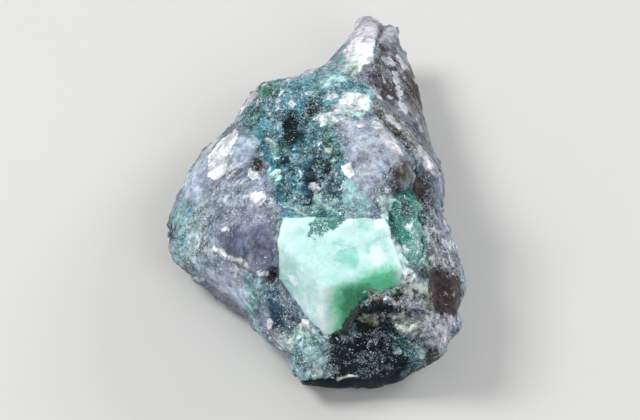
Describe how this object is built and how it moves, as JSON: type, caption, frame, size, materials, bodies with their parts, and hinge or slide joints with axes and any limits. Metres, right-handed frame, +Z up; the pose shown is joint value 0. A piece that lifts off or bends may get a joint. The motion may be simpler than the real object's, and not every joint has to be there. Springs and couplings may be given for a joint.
{
  "type": "beryl crystal in smoky quartz",
  "caption": "Hand specimen of pale green beryl: a broken crystal and a darker blade set in a craggy lump of smoky quartz that lies on one flat face.",
  "frame": {"origin": "middle of the footprint of the bounding box, on the surface that the specimen lies on", "axes": "+Z up from the flat resting face, +Y along the length towards the horn, +X to the right of a viewer who looks along +Y"},
  "size_m": [0.033, 0.0468, 0.0182],
  "materials": {
    "smoky_quartz": "glassy broken quartz with blue-green grains and white flakes",
    "pale_beryl": "translucent, waxy",
    "teal_beryl": "translucent, glassy"
  },
  "bodies": {
    "root": {"smoky_quartz": "smoky_quartz", "beryl_crystal": "pale_beryl", "beryl_blade": "teal_beryl"}
  },
  "joints": []
}
